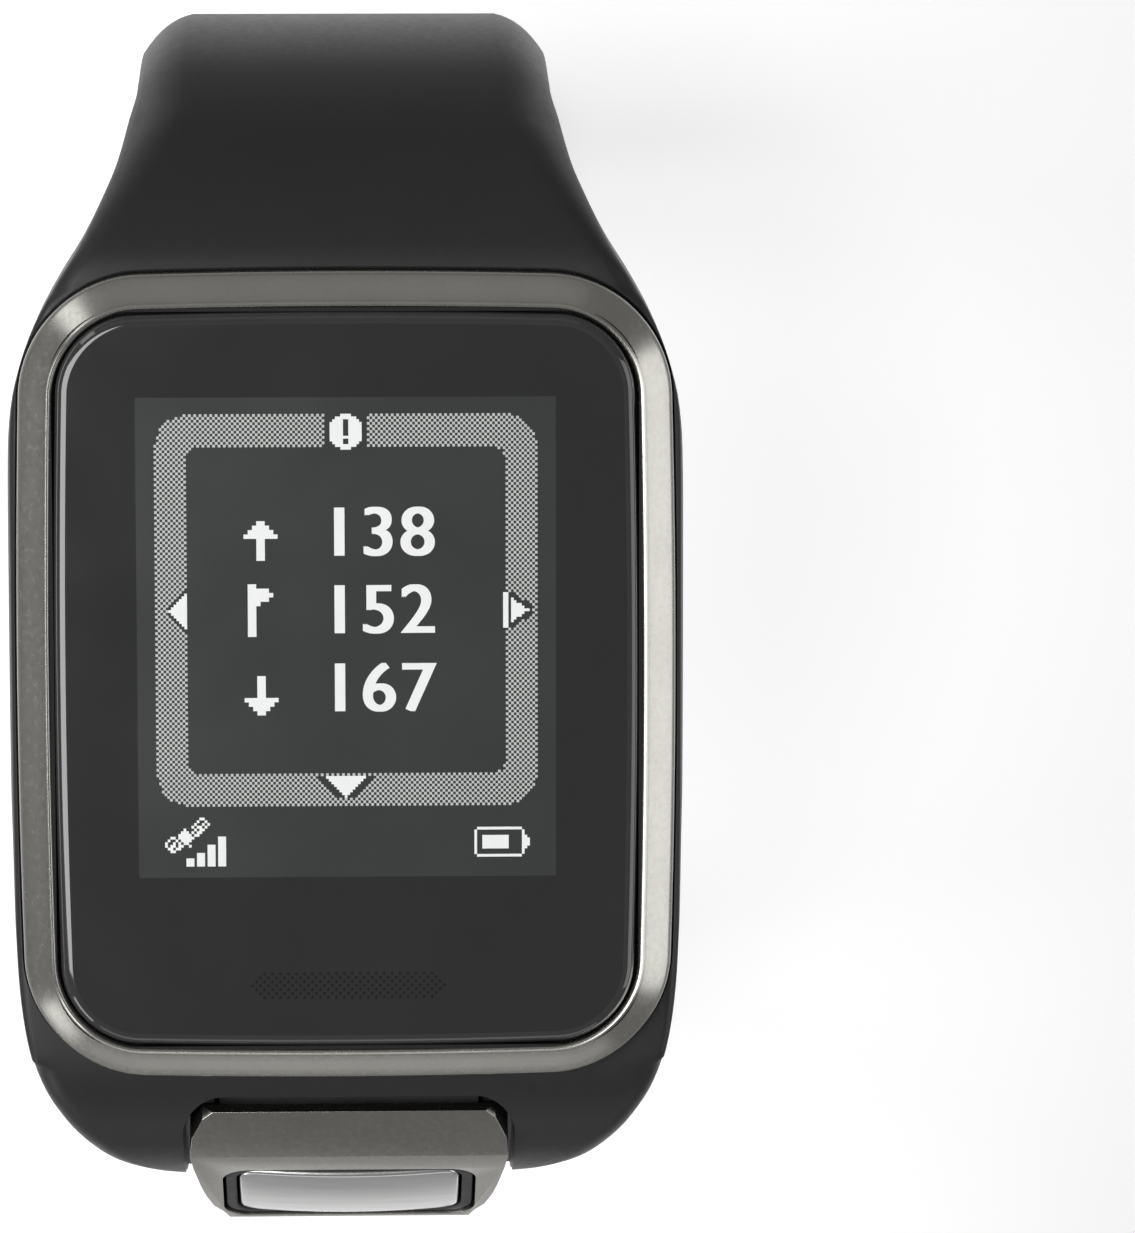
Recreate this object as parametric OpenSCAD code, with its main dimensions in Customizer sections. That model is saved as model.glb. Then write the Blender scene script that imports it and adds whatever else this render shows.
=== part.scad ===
// Golf GPS watch with a four-way button on its chin, a rubber strap frame,
// and a two-part strap with a pin buckle. It stands unbuckled on its strap.
// Z is the screen's normal, +Y points to 12 o'clock, +X to 3 o'clock.
// The origin is the centre of the flat case back. All sizes are millimetres.

/* [Module] */
// bezel's outer width
bezel_w = 34.9; // [30:0.1:40]
// bezel's outer length
bezel_l = 43.3; // [36:0.1:50]
// bezel's outer corner radius
bezel_r = 6.3; // [4:0.1:9]
// how far the bezel's face falls towards its outer edge
bezel_fall = 1.3; // [0.5:0.1:2]
// how far the bezel's face runs in from its outer edge
bezel_run = 1.75; // [1:0.05:2.5]
// cover glass width
glass_w = 30.9; // [26:0.1:36]
// cover glass length
glass_l = 39.3; // [34:0.1:46]
// height of the cover glass above the case back
glass_z = 13.15; // [11:0.05:15]
// underside of the bezel
rim_z = 9.9; // [8:0.1:12]
// module case width
case_w = 31.2; // [28:0.1:34]
// module case length
case_l = 39.0; // [34:0.1:44]

/* [Display] */
// visible screen width
screen_w = 22.1; // [20:0.1:26]
// visible screen length
screen_l = 25.6; // [22:0.1:30]
// screen centre towards 12 o'clock
screen_y = 2.35; // [0:0.05:4]

/* [Chin button] */
// how far the button face leans, from flat
button_tilt = 57; // [40:1:80]
// button pad width
pad_w = 12.0; // [8:0.1:16]
// button pad height
pad_h = 6.0; // [4:0.1:10]
// play round the pad and its carrier ring
pad_gap = 0.15; // [0.1:0.05:0.3]

/* [Strap] */
// strap width
strap_w = 22; // [18:0.5:24]
// strap width at the buckle and the tail
end_w = 20; // [16:0.5:24]
// strap thickness
strap_t = 3.2; // [2.4:0.1:4]
// clearance in each flex joint's seat
flex_gap = 0.2; // [0.15:0.05:0.4]
// hole diameter in the tail
hole_d = 2.2; // [1.6:0.1:3]
// distance between the tail's holes
hole_pitch = 4.5; // [4:0.1:6]
// number of holes in the tail
holes = 6; // [4:1:8]

/* [Buckle] */
// spring bar radius
bar_r = 0.9; // [0.6:0.05:1.2]
// length of the buckle frame, from the bar to the front
buckle_l = 10.8; // [8:0.1:14]
// thickness of the buckle frame
buckle_t = 2.2; // [1.6:0.1:3]

/* [Hidden] */
e = 0.01;
t = strap_t;
rk = strap_t / 2 - 0.04;   // knuckle radius, just under the strap's half
seat = rk + flex_gap;      // seat radius
horn = seat * cos(55);     // where a seat's horns start

// flex axes, as [y, z], on the strap's middle line
u1 = [32.35, -8.5];
u_r = 20;                  // middle line radius of the upper strap
u_a = 30;                  // its turn, in degrees
u2 = [u1[0] - u_r + u_r * cos(u_a), u1[1] - u_r * sin(u_a)];
u_len = 17;                // straight run down to the spring bar
bar = [u2[0] - u_len * sin(u_a), u2[1] - u_len * cos(u_a)];
l1 = [-28.6, -8];
l_r = 16;                  // middle line radius of the lower bend
l_z = -36.6;               // height of the bend's centre
l2 = [-8, l_z - l_r];
tail_y = 30;               // tail's tip

rubber = [0.13, 0.13, 0.14];
dark = [0.09, 0.09, 0.10];
metal = [0.47, 0.46, 0.43];
bright = [0.75, 0.75, 0.73];
copper = [0.80, 0.62, 0.28];
green = [0.10, 0.30, 0.18];

// ---- helpers ----

// a rounded rectangle
module rr(w, l, r) {
    square([w - 2 * r, l], center = true);
    square([w, l - 2 * r], center = true);
    for (x = [-1, 1], y = [-1, 1])
        translate([x * (w / 2 - r), y * (l / 2 - r)]) circle(r, $fn = 64);
}

module rr_block(w, l, r, z0, z1) {
    translate([0, 0, z0]) linear_extrude(z1 - z0) rr(w, l, r);
}

// a rounded rectangle block whose sides lean in by s over its height
module rr_lean(w, l, r, z0, z1, s) {
    h = z1 - z0;
    translate([0, 0, z0]) {
        for (x = [-1, 1], y = [-1, 1])
            translate([x * (w / 2 - r), y * (l / 2 - r), 0])
                cylinder(h = h, r1 = r, r2 = r - s, $fn = 64);
        rotate([90, 0, 0]) translate([0, 0, -(l / 2 - r)])
            linear_extrude(l - 2 * r)
                polygon([[-w / 2, 0], [w / 2, 0], [w / 2 - s, h],
                    [-w / 2 + s, h]]);
        rotate([90, 0, 90]) translate([0, 0, -(w / 2 - r)])
            linear_extrude(w - 2 * r)
                polygon([[-l / 2, 0], [l / 2, 0], [l / 2 - s, h],
                    [-l / 2 + s, h]]);
    }
}

// the slight bow of the module's long and short sides
module bow(w, l) {
    intersection() {
        translate([560 - w / 2, 0, -20]) cylinder(h = 60, r = 560, $fn = 360);
        translate([w / 2 - 560, 0, -20]) cylinder(h = 60, r = 560, $fn = 360);
        translate([0, 420 - l / 2, -20]) cylinder(h = 60, r = 420, $fn = 360);
        translate([0, l / 2 - 420, -20]) cylinder(h = 60, r = 420, $fn = 360);
    }
}

// a side profile in (y, z), drawn across the width
module side(x0, x1) {
    translate([x0, 0, 0]) rotate([90, 0, 90]) linear_extrude(x1 - x0)
        children();
}

// a rod along X at (y, z)
module rod(y, z, r, half) {
    translate([-half, y, z]) rotate([0, 90, 0])
        cylinder(h = 2 * half, r = r, $fn = 48);
}

// the strap's cross-section: x across, and the outer face at +t/2
module section(w, q) {
    polygon([[-w / 2 + 0.7, -q / 2], [w / 2 - 0.7, -q / 2],
        [w / 2, -q / 2 + 0.6], [w / 2, q / 2 - 2.0], [w / 2 - 0.6, q / 2 - 1.0],
        [w / 2 - 1.4, q / 2 - 0.35], [w / 2 - 2.6, q / 2],
        [-w / 2 + 2.6, q / 2], [-w / 2 + 1.4, q / 2 - 0.35],
        [-w / 2 + 0.6, q / 2 - 1.0], [-w / 2, q / 2 - 2.0],
        [-w / 2, -q / 2 + 0.6]]);
}

// a curved strap run; angles are measured down from the horizontal
module run_arc(c, r, a0, a1, w = strap_w) {
    translate([0, c[0], c[1]]) rotate([90, 0, 90]) rotate([0, 0, -a1])
        rotate_extrude(angle = a1 - a0, $fn = 96)
            translate([r, 0]) rotate([0, 0, -90]) section(w, t);
}

// a straight strap run from s0 to s1 beyond point p, heading a below level
module run_line(p, a, s0, s1, w = strap_w) {
    translate([0, p[0], p[1]]) rotate([-a, 0, 0]) translate([0, 0, -s1])
        linear_extrude(s1 - s0) section(w, t);
}

// the round end that turns in the next run's seat
module knuckle(p, a, w = strap_w) {
    intersection() {
        run_line(p, a, -0.8, rk + 0.4, w - 0.2);
        rod(p[0], p[1], rk, 13);
    }
}

// the strap's narrowing, seen from the front: full width at height z0, and
// the buckle's width from z1 down
module taper(z0, z1) {
    k = (strap_w - end_w) / 2 / (z0 - z1);
    top = strap_w / 2 + 2 * k;
    translate([0, 60, 0]) rotate([90, 0, 0]) linear_extrude(120)
        polygon([[-top, z0 + 2], [top, z0 + 2], [end_w / 2, z1],
            [end_w / 2, -60], [-end_w / 2, -60], [-end_w / 2, z1]]);
}

// the space a knuckle needs in the run that follows it
module seat_cut(p) { rod(p[0], p[1], seat, 14); }

// the frame of the button's face: +Z out of the face, +Y up along it
module at_button() {
    translate([0, -29.3, 4.8]) rotate([button_tilt, 0, 0]) children();
}

// ---- module ----

module cover_glass() {
    color([0.10, 0.10, 0.11, 0.6]) difference() {
        union() {
            rr_block(glass_w, glass_l, 4.1, 11.9, glass_z - 0.35);
            rr_lean(glass_w, glass_l, 4.1, glass_z - 0.35 - e, glass_z, 0.45);
        }
        translate([-5.35, -17.25, 11]) cube([10.7, 1.9, 4]);
    }
}

module glass_gasket() {
    color(dark) difference() {
        rr_block(glass_w + 0.4, glass_l + 0.4, 4.3, 11.7, 12.85);
        rr_block(glass_w, glass_l, 4.1, 11.9, 14);
        rr_block(28.8, 37.0, 3.4, 11, 14);
    }
}

module bezel() {
    color(metal) difference() {
        intersection() {
            union() {
                rr_block(bezel_w, bezel_l, bezel_r, rim_z, 13 - bezel_fall + e);
                rr_lean(bezel_w, bezel_l, bezel_r, 13 - bezel_fall, 13,
                    bezel_run);
            }
            bow(bezel_w, bezel_l);
        }
        rr_block(glass_w + 0.4, glass_l + 0.4, 4.3, 11.7, 14);
        rr_block(28.6, 36.8, 3.4, 9, 14);
    }
}

module lcd_panel() {
    color([0.26, 0.27, 0.27])
        translate([0, screen_y - 0.6, 11.15])
            cube([screen_w + 2.4, screen_l + 4.2, 1.4], center = true);
}

module light_guide() {
    color([0.85, 0.87, 0.88])
        translate([0, screen_y - 0.6, 10.05])
            cube([screen_w + 3.4, screen_l + 4.8, 0.75], center = true);
}

module display_frame() {
    color(dark) difference() {
        union() {
            rr_block(28.0, 35.8, 3.6, 8.39, 9.65);
            for (x = [-1, 1], y = [-1, 1])
                translate([x * 12.4, y * 16.2, 8.3])
                    cube([1.8, 1.8, 1.2], center = true);
        }
        translate([0, 1.5, 9]) cube([20, 24, 4], center = true);
        translate([0, -14.3, 9]) cube([9, 3, 4], center = true);
    }
}

module main_pcb() {
    color(green) rr_block(27.2, 34.4, 3.2, 6.9, 7.7);
}

module rf_shield() {
    color(bright) {
        translate([-4.5, 6, 7.95]) cube([13, 11, 0.5], center = true);
        translate([8, 6, 7.95]) cube([8, 8, 0.5], center = true);
        translate([2, -4.5, 7.95]) cube([6, 6, 0.5], center = true);
    }
}

module battery() {
    color([0.62, 0.63, 0.64]) translate([0, -1, 4.1])
        cube([23.4, 26, 4.4], center = true);
}

module vibration_motor() {
    color(bright) difference() {
        translate([-10.3, 15.6, 4.3]) rotate([0, 90, 0])
            cylinder(h = 7.2, r = 2.0, $fn = 48);
        translate([-7, 15.6, 4.3]) rotate([0, 90, 0])
            cylinder(h = 6, r = 0.4, $fn = 32);
    }
}

module motor_rotor() {
    color([0.55, 0.55, 0.56]) {
        translate([-6.6, 15.6, 4.3]) rotate([0, 90, 0])
            cylinder(h = 6.8, r = 0.35, $fn = 32);
        difference() {
            translate([-2.7, 15.6, 4.3]) rotate([0, 90, 0])
                cylinder(h = 3, r = 1.95, $fn = 48);
            translate([-3, 12, 4.5]) cube([4, 8, 4]);
        }
    }
}

module buzzer_disc() {
    color(copper) translate([0, -12.4, 7.7])
        cylinder(h = 0.5, r = 4.2, $fn = 64);
}

module sound_grille() {
    color(dark) translate([0, -16.3, 12.75]) linear_extrude(0.36)
        difference() {
            square([10.66, 1.86], center = true);
            for (row = [-3:3], k = [-12:12]) {
                x = k * 0.424 + (abs(row) % 2 == 1 ? 0.212 : 0);
                if (abs(x) < 5.15 - 0.22 * max(0, abs(row) - 1))
                    translate([x, row * 0.21]) circle(0.09, $fn = 4);
            }
        }
}

module gps_antenna() {
    color([0.86, 0.82, 0.72]) translate([-5.5, -21.8, 4.4])
        cube([11, 2.6, 2.6]);
}

module module_case() {
    color(dark) difference() {
        union() {
            rr_block(case_w, case_l, 5, 1.5, rim_z);
            side(-7, 7) polygon([[-18.7, 1.5], [-27.5, 1.5], [-24.08, 6.77],
                [-24.08, 8.0], [-18.7, 8.0]]);
        }
        difference() {
            rr_block(28.8, 36.6, 3.8, 1, 12);
            for (x = [-1, 1], y = [-1, 1])
                translate([x * 12.6, y * 16.4, 1])
                    cylinder(h = 5.9, r = 1.5, $fn = 40);
        }
        // the chin's inside, and the slot for the button's cable
        translate([-6, -23.2, 2.4]) cube([12, 8, 4.8]);
        translate([-2.8, -28, 2.4]) cube([5.6, 8, 1.0]);
        rr_block(30.0, 37.8, 4.4, 1, 2.0);
        for (x = [-1, 1], y = [-1, 1])
            translate([x * 12.6, y * 16.4, 0])
                cylinder(h = 5.2, r = 0.6, $fn = 32);
    }
}

module back_cover_gasket() {
    color(dark) difference() {
        rr_block(30.0, 37.8, 4.4, 1.5, 2.0);
        rr_block(28.8, 36.6, 3.8, 1, 3);
    }
}

module back_cover() {
    color([0.16, 0.16, 0.17]) difference() {
        union() {
            rr_block(30.6, 38.4, 4.8, 0.5, 1.5);
            rr_block(29.8, 37.6, 4.4, 0, 0.5 + e);
        }
        for (x = [-1, 1], y = [-1, 1])
            translate([x * 12.6, y * 16.4, -1]) {
                cylinder(h = 4, r = 0.75, $fn = 32);
                cylinder(h = 1.6, r = 1.1, $fn = 32);
            }
        for (k = [-1.5:1.5])
            translate([k * 2.6, -15.2, -1])
                cylinder(h = 4, r = 0.8, $fn = 32);
    }
}

module back_cover_screws() {
    color(bright)
        for (x = [-1, 1], y = [-1, 1])
            translate([x * 12.6, y * 16.4, 0]) difference() {
                union() {
                    translate([0, 0, 0.08])
                        cylinder(h = 0.52, r = 1.0, $fn = 32);
                    cylinder(h = 4.8, r = 0.6, $fn = 32);
                }
                translate([0, 0, -0.02]) cylinder(h = 0.35, r = 0.55, $fn = 6);
            }
}

module charging_contacts() {
    color(copper)
        for (k = [-1.5:1.5])
            translate([k * 2.6, -15.2, 0.05])
                cylinder(h = 1.9, r = 0.8, $fn = 32);
}

// ---- chin button ----

module button_frame() {
    color(metal) difference() {
        intersection() {
            side(-9, 9) polygon([[-23.9, 10.0], [-26.7, 8.8], [-31.9, 0.8],
                [-31.6, -0.3], [-30.6, -0.75], [-28.97, -0.75],
                [-24.08, 6.77], [-24.08, 8.9], [-23.6, 9.3]]);
            at_button() translate([0, 0, -8]) linear_extrude(16)
                polygon([[6.3, -5.6], [6.95, -3.8], [7.45, -2.9],
                    [7.85, -1.3], [8.1, 0.2], [8.45, 3.0], [8.6, 4.9],
                    [8.5, 5.8], [7.9, 6.9], [6.9, 7.6], [-6.9, 7.6],
                    [-7.9, 6.9], [-8.5, 5.8], [-8.6, 4.9], [-8.45, 3.0],
                    [-8.1, 0.2], [-7.85, -1.3], [-7.45, -2.9],
                    [-6.95, -3.8], [-6.3, -5.6]]);
        }
        at_button() {
            translate([0, -0.8, -2.9]) linear_extrude(8)
                rr(pad_w + 1.8, pad_h + 1.2, 1.5);
            translate([-2.6, -1.9, -8]) cube([5.2, 2.15, 8]);
            translate([-7.3, -0.8, -0.7]) rotate([0, 90, 0])
                cylinder(h = 14.6, r = 0.42, $fn = 32);
        }
    }
}

module button_ring() {
    color(dark) at_button() translate([0, -0.8, 0]) difference() {
        union() {
            translate([0, 0, -1.3]) linear_extrude(1.2)
                rr(pad_w + 1.8 - 2 * pad_gap, pad_h + 1.2 - 2 * pad_gap, 1.35);
            translate([-7.2, 0, -0.7]) rotate([0, 90, 0])
                cylinder(h = 14.4, r = 0.35, $fn = 32);
        }
        translate([0, 0, -3]) linear_extrude(6)
            rr(pad_w + 2 * pad_gap, pad_h + 2 * pad_gap, 1.15);
        translate([0, -4, -0.7]) rotate([-90, 0, 0])
            cylinder(h = 8, r = 0.42, $fn = 32);
    }
}

module button_pad() {
    color(bright) at_button() translate([0, -0.8, 0]) {
        translate([0, 0, -1.2]) linear_extrude(1.1) rr(pad_w, pad_h, 1.0);
        // crowned top
        intersection() {
            translate([0, 0, -0.6]) linear_extrude(1.4) rr(pad_w, pad_h, 1.0);
            translate([0, 0, 0.35 - 42]) rotate([90, 0, 0])
                translate([0, 0, -5]) cylinder(h = 10, r = 42, $fn = 240);
        }
        translate([0, -3.4, -0.7]) rotate([-90, 0, 0])
            cylinder(h = 6.8, r = 0.35, $fn = 32);
    }
}

module button_seal() {
    color(rubber) at_button() translate([0, -0.8, -1.95])
        linear_extrude(0.3) rr(pad_w + 1.8, pad_h + 1.2, 1.5);
}

module dome_switches() {
    color(bright) at_button()
        for (p = [[-4.2, 0], [4.2, 0], [0, 1.9], [0, -1.9]])
            translate([p[0], p[1] - 0.8, -2.3])
                cylinder(h = 0.35, r1 = 1.3, r2 = 0.9, $fn = 32);
}

module button_pcb() {
    color(green) at_button() translate([0, -0.8, -2.85])
        linear_extrude(0.55) rr(pad_w + 0.8, pad_h + 0.4, 1.2);
}

module flex_cable() {
    color([0.72, 0.45, 0.12]) side(-2.5, 2.5) polygon([[-27.15, 2.75],
        [-27.02, 2.95], [-17.9, 2.95], [-17.9, 6.9], [-16.4, 6.9],
        [-16.4, 6.75], [-17.75, 6.75], [-17.75, 2.75]]);
}

// ---- strap frame ----

module frame_plan() {
    right = [[11.2, 36], [11.2, 30.5], [11.55, 28.9], [12.1, 26.9],
        [12.95, 24.9], [14.0, 22.8], [15.3, 20.7], [16.45, 18.6],
        [17.25, 16.4], [17.8, 14.2], [18.02, 12], [18.08, 9], [18.1, 0],
        [18.08, -6], [18.0, -9.4], [17.9, -13.7], [17.7, -16],
        [17.45, -18.2], [16.95, -20.4], [16.05, -22.6], [14.65, -24.8],
        [12.0, -27], [11.3, -28.2], [11.2, -32]];
    polygon(concat(right,
        [for (i = [len(right) - 1:-1:0]) [-right[i][0], right[i][1]]]));
}

module strap_frame() {
    color(rubber) difference() {
        union() {
            intersection() {
                translate([0, 0, -9]) linear_extrude(20) frame_plan();
                side(-19, 19) polygon([[22.2, 10.6], [24.3, 9.5], [27, 7.5],
                    [29.5, 5.0], [31.5, 2.0], [33.0, -1.6], [33.75, -5.2],
                    [33.95, -8.5], [30.75, -8.5], [30.4, -5.6],
                    [29.2, -2.9], [27.2, -0.9], [24.5, 0.3], [21.5, 0.8],
                    [19, 0.6], [-19, 0.6], [-21.5, -0.7], [-23.8, -2.2],
                    [-25.6, -4.3], [-26.7, -6.5], [-27.0, -8.0],
                    [-30.2, -8.0], [-30.1, -6.5], [-29.6, -3.5],
                    [-28.9, 0.5], [-28.0, 4.2], [-26.6, 7.4],
                    [-24.2, 9.5], [-22.2, 10.6]]);
                translate([0, 40, 0]) rotate([90, 0, 0]) linear_extrude(80)
                    polygon([[17.6, 10.7], [17.95, 10.0], [18.2, 8.6],
                        [18.2, 6.0], [17.4, 3.2], [16.3, 1.4], [15.9, 0.6],
                        [11.4, -1.5], [11.4, -9], [-11.4, -9],
                        [-11.4, -1.5], [-15.9, 0.6], [-16.3, 1.4],
                        [-17.4, 3.2], [-18.2, 6.0], [-18.2, 8.6],
                        [-17.95, 10.0], [-17.6, 10.7]]);
            }
            knuckle(u1, 0);
            mirror([0, 1, 0]) knuckle([-l1[0], l1[1]], 0);
        }
        // bevelled edges of the lower strap's stub
        for (s = [-1, 1])
            translate([0, 0, -10.2]) linear_extrude(8.4)
                polygon([[s * 8.4, -30.25], [s * 9.6, -29.85],
                    [s * 10.4, -29.2], [s * 11, -28.2], [s * 11, -20],
                    [s * 12, -20], [s * 12, -32], [s * 8.4, -32]]);
        // bevelled edges where the upper strap turns down
        for (s = [-1, 1])
            translate([0, 13, -9]) rotate([90, 0, 90]) rotate([0, 0, -8])
                rotate_extrude(angle = 42, $fn = 96)
                    polygon([[21.4, s * 8.6], [22.6, s * 8.6],
                        [22.6, s * 11.8], [19.1, s * 11.8],
                        [19.1, s * 11.2]]);
        rr_block(case_w + 0.3, case_l + 0.3, 5.15, -2, 12);
        rr_block(bezel_w + 0.3, bezel_l + 0.3, bezel_r + 0.15, 9.8, 14);
        side(-7.3, 7.3) polygon([[-18, 1.2], [-28, 1.2], [-24, 7.3],
            [-23.6, 8.3], [-18, 8.3]]);
        side(-9, 9) polygon([[-23.6, 13], [-23.6, 8.2], [-23.7, 7.0],
            [-28.95, -1.0], [-36, -1.0], [-36, 13]]);
        for (s = [-1, 1])
            translate([0, 0, -0.6]) linear_extrude(12)
                polygon([[s * 8, -28.3], [s * 9, -28.2], [s * 12.05, -26.95],
                    [s * 13, -27], [s * 13, -34], [s * 8, -34]]);
    }
}

// ---- upper strap and buckle ----

module strap_upper_1() {
    c = [u1[0] - u_r, u1[1]];
    color(rubber) {
        difference() {
            intersection() {
                run_arc(c, u_r, asin(horn / u_r), u_a);
                taper(u1[1], u2[1]);
            }
            seat_cut(u1);
        }
        knuckle(u2, u_a, end_w);
    }
}

module strap_upper_2() {
    color(rubber) difference() {
        union() {
            run_line(u2, u_a, horn, u_len, end_w);
            knuckle(bar, u_a, end_w);
        }
        seat_cut(u2);
        rod(bar[0], bar[1], bar_r, 14);
        // slot for the tongue
        translate([0, bar[0], bar[1]]) rotate([-u_a, 0, 0])
            translate([-1.6, -4, -4]) cube([3.2, 8, 9.5]);
    }
}

module strap_keeper() {
    color(rubber) translate([0, u2[0], u2[1]]) rotate([-u_a, 0, 0])
        translate([0, 0, -10]) linear_extrude(4.6) difference() {
            translate([0, 1.7]) rr(end_w + 2.9, t + 6.3, 1.4);
            translate([0, 1.7]) rr(end_w + 0.5, t + 3.9, 0.6);
        }
}

module buckle_bar() {
    color(bright) rod(bar[0], bar[1], bar_r, end_w / 2 + 1.7);
}

module buckle_frame() {
    color(metal) translate([0, bar[0], bar[1]]) difference() {
        union() {
            for (s = [-1, 1])
                translate([s * (end_w / 2 + 1.3), 0, 0]) {
                    translate([0, 0, -buckle_l / 2])
                        cube([1.9, buckle_t, buckle_l], center = true);
                    rotate([0, 90, 0]) cylinder(h = 1.9, r = 1.7,
                        center = true, $fn = 48);
                }
            translate([-end_w / 2 - 2.25, -buckle_t / 2, -buckle_l - 1.2])
                cube([end_w + 4.5, buckle_t, 2.2]);
        }
        rotate([0, 90, 0]) cylinder(h = end_w + 3.8, r = bar_r + 0.06,
            center = true, $fn = 48);
        // rounded front corners
        for (s = [-1, 1])
            translate([s * (end_w / 2 + 0.25), 0, -buckle_l + 0.8]) difference() {
                translate([s * 3, 0, -3]) cube([6, 6, 6], center = true);
                rotate([90, 0, 0]) cylinder(h = 8, r = 2, center = true,
                    $fn = 48);
            }
    }
}

module buckle_tongue() {
    color(bright) translate([0, bar[0], bar[1]]) difference() {
        union() {
            rotate([0, 90, 0]) cylinder(h = 2.4, r = 1.5, center = true,
                $fn = 48);
            side(-1.0, 1.0) polygon([[-0.2, -1.2], [1.35, -0.6],
                [2.35, -9.2], [2.35, -12.4], [1.35, -12.4],
                [1.35, -9.4], [0.5, -2.0]]);
        }
        rotate([0, 90, 0]) cylinder(h = 6, r = bar_r + 0.06, center = true,
            $fn = 48);
    }
}

// ---- lower strap ----

module strap_lower_1() {
    color(rubber) mirror([0, 1, 0]) {
        difference() {
            union() {
                intersection() {
                    run_line([-l1[0], l1[1]], 0, horn, l1[1] - l_z + e);
                    taper(l1[1], l_z + 2);
                }
                run_arc([-l1[0] - l_r, l_z], l_r, 0, 90, end_w);
                run_line([-l1[0] - l_r, l2[1]], 90, -e,
                    -l1[0] - l_r + l2[0], end_w);
            }
            seat_cut([-l1[0], l1[1]]);
        }
        knuckle([-l2[0], l2[1]], 90, end_w);
    }
}

module strap_lower_2() {
    color(rubber) difference() {
        intersection() {
            mirror([0, 1, 0]) run_line([-l2[0], l2[1]], 90, horn,
                tail_y - l2[0], end_w);
            // rounded tip
            translate([0, 0, l2[1] - 4]) linear_extrude(8) union() {
                translate([-12, -12]) square([24, 12 + tail_y - 9]);
                translate([0, tail_y - 14]) circle(14, $fn = 96);
            }
        }
        seat_cut(l2);
        for (k = [0:holes - 1])
            translate([0, k * hole_pitch, l2[1] - 4])
                cylinder(h = 8, r = hole_d / 2, $fn = 32);
    }
}

cover_glass();
glass_gasket();
bezel();
lcd_panel();
light_guide();
display_frame();
main_pcb();
rf_shield();
battery();
vibration_motor();
motor_rotor();
buzzer_disc();
sound_grille();
gps_antenna();
module_case();
back_cover();
back_cover_gasket();
back_cover_screws();
charging_contacts();
button_frame();
button_ring();
button_pad();
button_seal();
dome_switches();
button_pcb();
flex_cable();
strap_frame();
strap_upper_1();
strap_upper_2();
strap_keeper();
buckle_bar();
buckle_frame();
buckle_tongue();
strap_lower_1();
strap_lower_2();
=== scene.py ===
import math

import bmesh
import bpy
from mathutils import Matrix, Vector


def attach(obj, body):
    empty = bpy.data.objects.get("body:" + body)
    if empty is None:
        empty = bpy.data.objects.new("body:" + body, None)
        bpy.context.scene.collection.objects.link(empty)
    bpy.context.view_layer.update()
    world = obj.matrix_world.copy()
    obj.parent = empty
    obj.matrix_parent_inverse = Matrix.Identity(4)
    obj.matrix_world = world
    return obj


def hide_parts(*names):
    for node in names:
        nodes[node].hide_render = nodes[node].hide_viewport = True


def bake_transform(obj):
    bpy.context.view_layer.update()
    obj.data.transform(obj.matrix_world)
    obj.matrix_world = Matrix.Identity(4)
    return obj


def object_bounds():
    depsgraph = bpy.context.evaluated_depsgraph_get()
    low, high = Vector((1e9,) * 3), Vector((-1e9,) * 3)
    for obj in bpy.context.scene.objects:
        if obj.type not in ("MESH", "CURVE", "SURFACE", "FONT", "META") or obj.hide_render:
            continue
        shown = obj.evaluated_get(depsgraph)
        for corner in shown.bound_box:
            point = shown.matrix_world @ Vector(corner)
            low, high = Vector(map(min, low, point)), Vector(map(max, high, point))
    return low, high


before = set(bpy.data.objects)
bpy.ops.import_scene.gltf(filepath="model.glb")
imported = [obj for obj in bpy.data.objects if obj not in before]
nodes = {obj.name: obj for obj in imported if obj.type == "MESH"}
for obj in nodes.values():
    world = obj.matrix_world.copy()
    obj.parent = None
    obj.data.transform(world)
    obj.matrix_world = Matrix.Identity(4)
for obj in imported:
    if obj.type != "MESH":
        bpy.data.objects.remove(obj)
cad_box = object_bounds()
MM = 0.001

# ---------------------------------------------------------------- materials


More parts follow.
